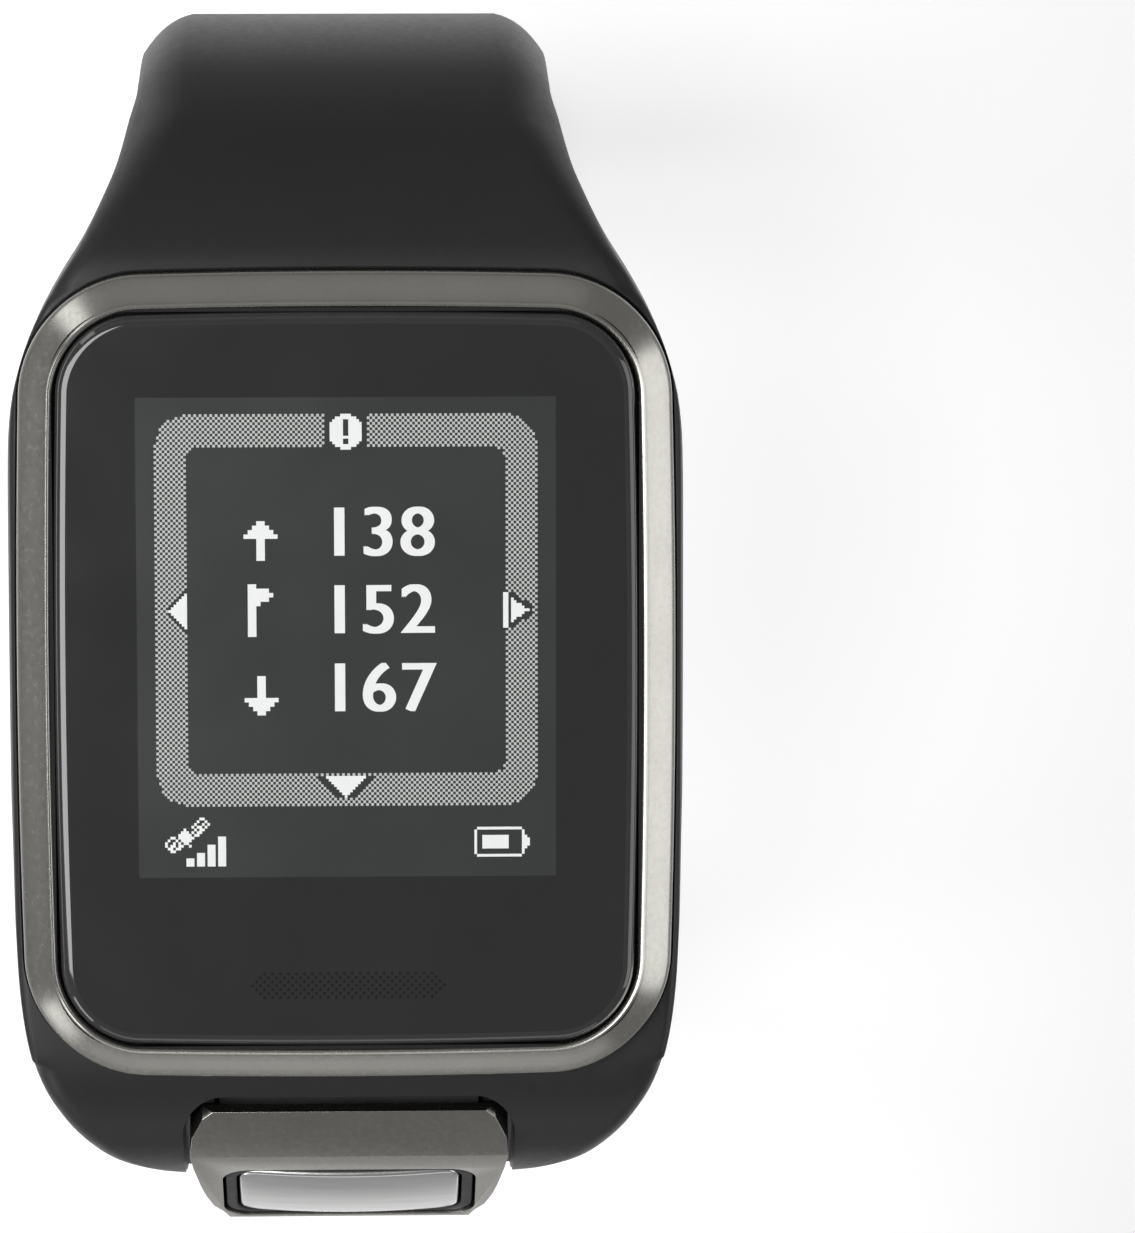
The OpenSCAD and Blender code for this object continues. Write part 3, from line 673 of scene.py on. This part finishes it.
# the display's window, a hair above the print, and its dots above that
WINDOW_W, WINDOW_L, WINDOW_Y = 22.1, 25.6, 2.35
zb, zl = GLASS_Z + 0.004, GLASS_Z + 0.008
nx, ny = 8, 9
v = [(-WINDOW_W / 2 + WINDOW_W * i / nx, WINDOW_Y - WINDOW_L / 2 + WINDOW_L * j / ny, zb)
     for j in range(ny + 1) for i in range(nx + 1)]
f = [(j * (nx + 1) + i, j * (nx + 1) + i + 1, (j + 1) * (nx + 1) + i + 1, (j + 1) * (nx + 1) + i)
     for j in range(ny) for i in range(nx)]
add("display_window", (v, f), LCD, "watch", (), 50)

# the picture on the display, in dots of its 144 by 168 grid; row 0 is at the top
DX, DY = 0.1400, 0.1462
X0, Y0 = -72 * DX, 14.42
LAST, RING = 143, 12  # the ring's last column and row, and its width

def inside_round(c, r, x0, y0, x1, y1, q):
    """True if a dot lies in a rectangle with stepped round corners of q dots."""
    if not (x0 <= c <= x1 and y0 <= r <= y1):
        return False
    dx = max(x0 + q - c, c - (x1 - q), 0)
    dy = max(y0 + q - r, r - (y1 - q), 0)
    return dx * dx + dy * dy <= (q + 0.35) ** 2


dither = {(col, r) for r in range(LAST + 1) for col in range(LAST + 1)
          if (col + r) % 2 == 0 and inside_round(col, r, 0, 1, LAST, LAST, 12)
          and not inside_round(col, r, RING, RING + 1, LAST - RING, LAST - RING, 4)}
white = set()


def draw(col, r, on=True):
    """One white dot, or a dark one, over the ring."""
    dither.discard((col, r))
    if on:
        white.add((col, r))
    else:
        white.discard((col, r))


def block(x0, y0, x1, y1, on=True):
    for r in range(y0, y1 + 1):
        for col in range(x0, x1 + 1):
            draw(col, r, on)


def arrow(steps, place_dot, half, dark):
    """An arrow with a dark outline: half(k) and dark(k) are the reach to each side at step k."""
    for k in range(steps):
        for d in range(-10, 11):
            if abs(d) <= max(half(k), dark(k)):
                draw(*place_dot(k, d), on=abs(d) <= half(k))


# notice disc in the ring's gap
block(64, 1, 79, 13, on=False)
for r in range(1, 14):
    for col in range(65, 79):
        if (col - 71.5) ** 2 + (r - 7) ** 2 <= 6.3**2:
            draw(col, r)
block(71, 3, 72, 8, on=False)
block(71, 10, 72, 11, on=False)
arrow(8, lambda k, d: (71 + d, 133 + k), lambda k: 7 - k, lambda k: 10 - k)
arrow(7, lambda k, d: (5 + k, 72 + d), lambda k: k, lambda k: k + 2)
arrow(8, lambda k, d: (134 + k, 72 + d), lambda k: 4 - 0.66 * k, lambda k: 7 - 0.8 * k)
block(131, 66, 132, 78)
block(133, 66, 133, 78, on=False)
# signal bars
for k, h in enumerate((3, 5, 8, 11)):
    block(11 + 4 * k, 166 - h, 13 + 4 * k, 165)
# a small satellite over them
SATELLITE = [
    "             ##  ", "            #..# ", "           #..#.#", "          #.##.# ", "       #  .#.##  ",
    "      ### #.##   ", "     #####.##    ", "  ## ######.     ", " #..# ####       ", "#..#.# ##        ",
    "#.##.##  #       ", " ##.##           ", "  ##             "]
for j, row in enumerate(SATELLITE):
    for i, ch in enumerate(row):
        if ch != " ":
            draw(3 + i, 148 + j, ch == "#")
# battery
block(121, 152, 137, 162)
block(120, 153, 138, 161)
block(121, 153, 137, 161, on=False)
block(123, 155, 132, 159)
block(139, 155, 139, 159)
block(140, 156, 140, 158)


def dots(name, cells, mat):
    """Flat strips over runs of neighbouring dots in each row."""
    v, f, rows = [], [], {}
    for c, r in cells:
        rows.setdefault(r, []).append(c)
    for r, line in sorted(rows.items()):
        line.sort()
        first = last = line[0]
        for c in line[1:] + [None]:
            if c is not None and c == last + 1:
                last = c
                continue
            q = len(v)
            x0, x1, y1, y0 = X0 + first * DX, X0 + (last + 1) * DX, Y0 - r * DY, Y0 - (r + 1) * DY
            v += [(x0, y0, zl), (x1, y0, zl), (x1, y1, zl), (x0, y1, zl)]
            f.append((q, q + 1, q + 2, q + 3))
            first = last = c
    return add(name, (v, f), mat, "watch", (), 50)


dots("display_ring", dither, DIM)
dots("display_dots", white, LIT)


def digits(name, body, x, y, size, bold):
    """Plain numbers as flat mesh, made bolder by two copies side by side."""
    cu = bpy.data.curves.new(name, "FONT")
    cu.body = body
    cu.size = size * MM
    cu.align_x = "CENTER"
    cu.space_character = 1.1
    o = link(name, cu)
    dg = bpy.context.evaluated_depsgraph_get()
    one = bpy.data.meshes.new_from_object(o.evaluated_get(dg))
    bpy.data.objects.remove(o)
    bm = bmesh.new()
    for k, dx in enumerate((-bold, 0, bold)):
        me = one.copy()
        me.transform(Matrix.Translation(((x + dx) * MM, y * MM, (zl + 0.0006 * k) * MM)))
        bm.from_mesh(me)
    me = bpy.data.meshes.new(name)
    bm.to_mesh(me)
    bm.free()
    return place(name, me, LIT, "watch")


# distances to the front, middle and back of the green, as plain numbers
for k, (text, py) in enumerate((("138", 6.75), ("152", 2.62), ("167", -1.55))):
    digits("display_number_%d" % (k + 1), text, 1.7, py, 3.75, 0.09)


ICON_X, ICON_Y = DX * 1.6, DY * 1.6


def dots_icon(name, x, y, rows):
    """A plain sign in larger dots."""
    v, f = [], []
    for j, row in enumerate(rows):
        for i, ch in enumerate(row):
            if ch == "#":
                q = len(v)
                a, b = x + i * ICON_X, y - j * ICON_Y
                v += [(a, b - ICON_Y, zl), (a + ICON_X, b - ICON_Y, zl), (a + ICON_X, b, zl), (a, b, zl)]
                f.append((q, q + 1, q + 2, q + 3))
    return add(name, (v, f), LIT, "watch", (), 50)


FLAG = ["##....", "#####.", "######", "#####.", "###..."] + 7 * ["##...."]
HEAD, SHAFT = ["...##...", "..####..", ".######.", "########"], 5 * ["...##..."]
dots_icon("display_flag", -5.2, 5.25, FLAG)
dots_icon("display_front", -5.4, 8.6, HEAD + SHAFT)
dots_icon("display_back", -5.4, 0.35, SHAFT + HEAD[::-1])

# perforated sound patch: rows of dots, each row half a pitch on from the last; each hole is a flat near-black
# disc on the print, painted shade standing for the hole's depth
PATCH_Y, DOT_PITCH, DOT_R = -16.32, 0.424, 0.085
v, f = [], []
for row in range(-3, 4):
    for k in range(-12, 13):
        x = k * DOT_PITCH + (DOT_PITCH / 2 if row % 2 else 0)
        if abs(x) < 5.15 - 0.22 * max(0, abs(row) - 1):
            q = len(v)
            cy = PATCH_Y + row * DOT_PITCH / 2
            v += [(x + DOT_R * math.cos(math.tau * j / 8), cy + DOT_R * math.sin(math.tau * j / 8), zb)
                  for j in range(8)]
            f.append(tuple(range(q, q + 8)))
add("sound_grille_holes", (v, f), HOLE_SHADE, "watch", ("sound_grille",), 50)

# ---------------------------------------------------------------- chin button


# the metal chin: the CAD solid with wide rounded outer edges and fine ones round the opening
me, bm = cad_copy("button_frame")
weight = bm.edges.layers.float.new("bevel_weight_edge")
for e in bm.edges:
    if len(e.link_faces) != 2 or e.calc_face_angle() < math.radians(24):
        continue
    inner = True
    for vert in e.verts:
        x, y, z = (c / MM for c in vert.co)
        across_face = (y - FACE_Y) * math.cos(TILT) + (z - FACE_Z) * math.sin(TILT) - PAD_Y
        if abs(x) > 7.05 or abs(across_face) > 3.75:
            inner = False
    e[weight] = 0.2 if inner else 1.0
me = bevelled("chin", me, bm, 0.72, 5, "WEIGHT")
place("button_frame_skin", me, CHIN, "watch", ("button_frame",), 35)


def face_loops(profile, w, h, r, corner=10, side=4):
    """Loops of a rounded rectangle round the pad, at each (inset, height over the face) of a profile."""
    return [[face_point(x, y + PAD_Y, z) for x, y in outline(w, h, r, i, corner, side, bow=False)]
            for i, z in profile]


# inner walls of the chin's opening
profile = [(0.0, -0.4), (0.0, -2.9), (0.6, -2.9), (0.6, -3.25), (-0.5, -3.25), (-0.5, -0.5)]
add("button_well", stack(face_loops(profile, PAD_W + 1.8, PAD_H + 1.2, 1.5), False, False), PLASTIC, "watch",
    (), 35)

# carrier ring: out and over, then down its inside
profile = [(0.12, -1.3), (0.0, -1.2), (0.0, -0.25), (0.05, -0.14), (0.14, -0.1)]
loops = face_loops(profile, PAD_W + 1.5, PAD_H + 0.9, 1.35)
profile = [(-0.05, -0.1), (0.0, -0.16), (0.0, -1.2), (-0.06, -1.3)]
loops += face_loops(profile, PAD_W + 0.3, PAD_H + 0.3, 1.15)
add("button_ring_skin", stack(loops, around=True), PLASTIC, "button_ring",
    ("button_ring",), 35)


def pad_point(x, y, z):
    """A point of the pad, which is crowned both ways."""
    return face_point(x, y + PAD_Y, z - 0.0085 * x * x - 0.020 * y * y)


EDGE = 0.18  # how far the pad's rounded edge reaches in
loops = face_loops([(0.0, -1.2)], PAD_W, PAD_H, PAD_R, corner=8, side=6)
for i, z in ((0.0, -0.10), (0.0, 0.12), (0.02, 0.2), (0.06, 0.26), (0.12, 0.30), (EDGE, 0.32)):
    loops.append([pad_point(x, y, z) for x, y in outline(PAD_W, PAD_H, PAD_R, i, corner=8, side=6,
                                                         bow=False)])
base = outline(PAD_W, PAD_H, PAD_R, EDGE, corner=8, side=6, bow=False)
for s in (0.93, 0.83, 0.7, 0.56, 0.42, 0.28, 0.14, 0.02):
    loops.append([pad_point(x * s, y * s, 0.34) for x, y in base])
add("button_pad_skin", stack(loops), PAD, "button_pad", ("button_pad",), 50)

# ---------------------------------------------------------------- the other pieces

soften("buckle_frame", 0.45, BUCKLE, "buckle", segments=3)
soften("buckle_tongue", 0.22, BUCKLE, "tongue", segments=2)


def loop_outline(w, d0, d1, r_in, r_out, inset):
    """The keeper's outline across the strap: r_in at its two corners by the wrist, r_out at the outer two."""
    hx = w / 2 - inset
    pts = []
    for sx, d, r, a0 in ((1, d1 - inset, r_out - inset, 0), (-1, d1 - inset, r_out - inset, 90),
                         (-1, d0 + inset, r_in - inset, 180), (1, d0 + inset, r_in - inset, 270)):
        cy = d - r if d > 0 else d + r
        for k in range(13):
            a = math.radians(a0 + 90 * k / 12)
            pts.append((sx * (hx - r) + r * math.cos(a), cy + r * math.sin(a)))
    return pts


loops = []
for inset, s in ((0.5, 5.4), (0.24, 5.47), (0.07, 5.64), (0.0, 5.9), (0.0, 7.7), (0.0, 9.5), (0.07, 9.76),
                 (0.24, 9.93), (0.5, 10.0)):
    loops.append([strap_point(x, d, s) for x, d in loop_outline(END_W + 2.9, -3.05, 6.45, 1.4, 3.4, inset)])
for inset, s in ((-0.3, 10.0), (-0.1, 9.92), (0.0, 9.7), (0.0, 5.7), (-0.1, 5.48), (-0.3, 5.4)):
    loops.append([strap_point(x, d, s) for x, d in loop_outline(END_W + 0.5, -1.85, 5.25, 0.6, 2.3, inset)])
add("strap_keeper_skin", stack(loops, around=True), RUBBER, "keeper", ("strap_keeper",), 50)
soften("back_cover", 0.22, BACK, "watch", segments=2)
soften("back_cover_screws", 0.08, STEEL, "watch", segments=2)
soften("charging_contacts", 0.12, GOLD, "watch", segments=2)

# the nodes that keep their CAD mesh
for node, finish in {
    "glass_gasket": GASKET, "lcd_panel": LCD, "light_guide": GUIDE, "display_frame": PLASTIC,
    "main_pcb": BOARD, "rf_shield": STEEL, "battery": BATTERY, "vibration_motor": STEEL,
    "motor_rotor": STEEL, "buzzer_disc": GOLD, "gps_antenna": CERAMIC, "module_case": PLASTIC,
    "back_cover_gasket": GASKET, "button_seal": GASKET, "dome_switches": STEEL, "button_pcb": BOARD,
    "flex_cable": FLEX, "buckle_bar": STEEL,
}.items():
    for s in nodes[node].material_slots:
        s.material = finish

# ---------------------------------------------------------------- floor, lights and camera

FLOOR = cad_box[0][2]
me = bpy.data.meshes.new("floor")
me.from_pydata([(x, y, FLOOR - 0.0002) for x, y in ((-1.5, -1.5), (1.5, -1.5), (1.5, 1.5), (-1.5, 1.5))], [],
               [(0, 1, 2, 3)])
floor = link("floor", me)
# pale paper that glows round the watch, painted light that washes out the watch's shadow, and whose colour
# greys further out, a painted fall-off of the light
glowing_floor = material("floor_painted_glow", (0.66, 0.66, 0.66), 0.8, spec=0.1)
nt = glowing_floor.node_tree
shade = nt.nodes["Principled BSDF"]
coord = nt.nodes.new("ShaderNodeTexCoord")
far = nt.nodes.new("ShaderNodeVectorMath")
far.operation = "LENGTH"
nt.links.new(coord.outputs["Object"], far.inputs[0])
# painted light: emission strong near the watch and fading outwards, base colour darker further out
for socket, near_value, far_value in (("Emission Strength", 0.60, 0.05), ("Base Color", 0.66, 0.30)):
    m = nt.nodes.new("ShaderNodeMapRange")
    for key, value in (("From Min", 0.068), ("From Max", 0.140), ("To Min", near_value),
                       ("To Max", far_value)):
        m.inputs[key].default_value = value
    nt.links.new(far.outputs["Value"], m.inputs["Value"])
    nt.links.new(m.outputs["Result"], shade.inputs[socket])
shade.inputs["Emission Color"].default_value = (1, 1, 1, 1)
me.materials.append(glowing_floor)

world = bpy.data.worlds.new("studio")
bpy.context.scene.world = world
world.use_nodes = True
bg = world.node_tree.nodes["Background"]
bg.inputs["Color"].default_value = (1, 1, 1, 1)
bg.inputs["Strength"].default_value = 0.20


def area(name, pos, aim, size, power, size_y):
    """A soft box of size by size_y metres, aimed at a point."""
    d = bpy.data.lights.new(name, "AREA")
    d.shape = "RECTANGLE"
    d.size, d.size_y = size, size_y
    d.energy = power
    o = link(name, d)
    o.location = pos
    o.rotation_euler = (Vector(aim) - Vector(pos)).to_track_quat("-Z", "Y").to_euler()
    return o


area("right_box", (0.55, -0.05, 0.17), (0, 0, 0), 0.56, 0.82, 0.34)
area("key_box", (-0.375, 0.02, 0.53), (0, 0, 0), 0.36, 4.1, 0.7)
area("back_box", (-0.05, 0.60, 0.27), (0, 0, 0), 0.7, 0.07, 0.22)
area("front_box", (0.0, -0.60, 0.12), (0, 0, 0), 0.7, 0.32, 0.22)
area("front_left_box", (-0.42, -0.42, 0.13), (0, 0, 0), 0.2, 0.36, 0.2)
area("back_left_box", (-0.42, 0.42, 0.15), (0, 0, 0), 0.14, 0.15, 0.2)

# the camera leans a little towards 12 o'clock; VIEW_H is the height of the picture, in mm, at the glass
THETA, DIST, VIEW_H = math.radians(8.5), 0.350, 65.066
aim = Vector((11.66, 3.45, 13.15)) * MM
eye = Vector((0, aim.y + DIST * math.sin(THETA), aim.z + DIST * math.cos(THETA)))
back = (eye - aim).normalized()
right = Vector((0, 1, 0)).cross(back).normalized()
up = back.cross(right).normalized()
cam = bpy.data.cameras.new("camera")
cam.lens = 36 * DIST / (VIEW_H * MM)
cam.sensor_width = 36
cam.clip_start = 0.01
camera = link("camera", cam)
m = Matrix((right, up, back)).transposed().to_4x4()
m.translation = eye
camera.matrix_world = m
bpy.context.scene.camera = camera
bpy.context.scene.view_settings.view_transform = "Standard"
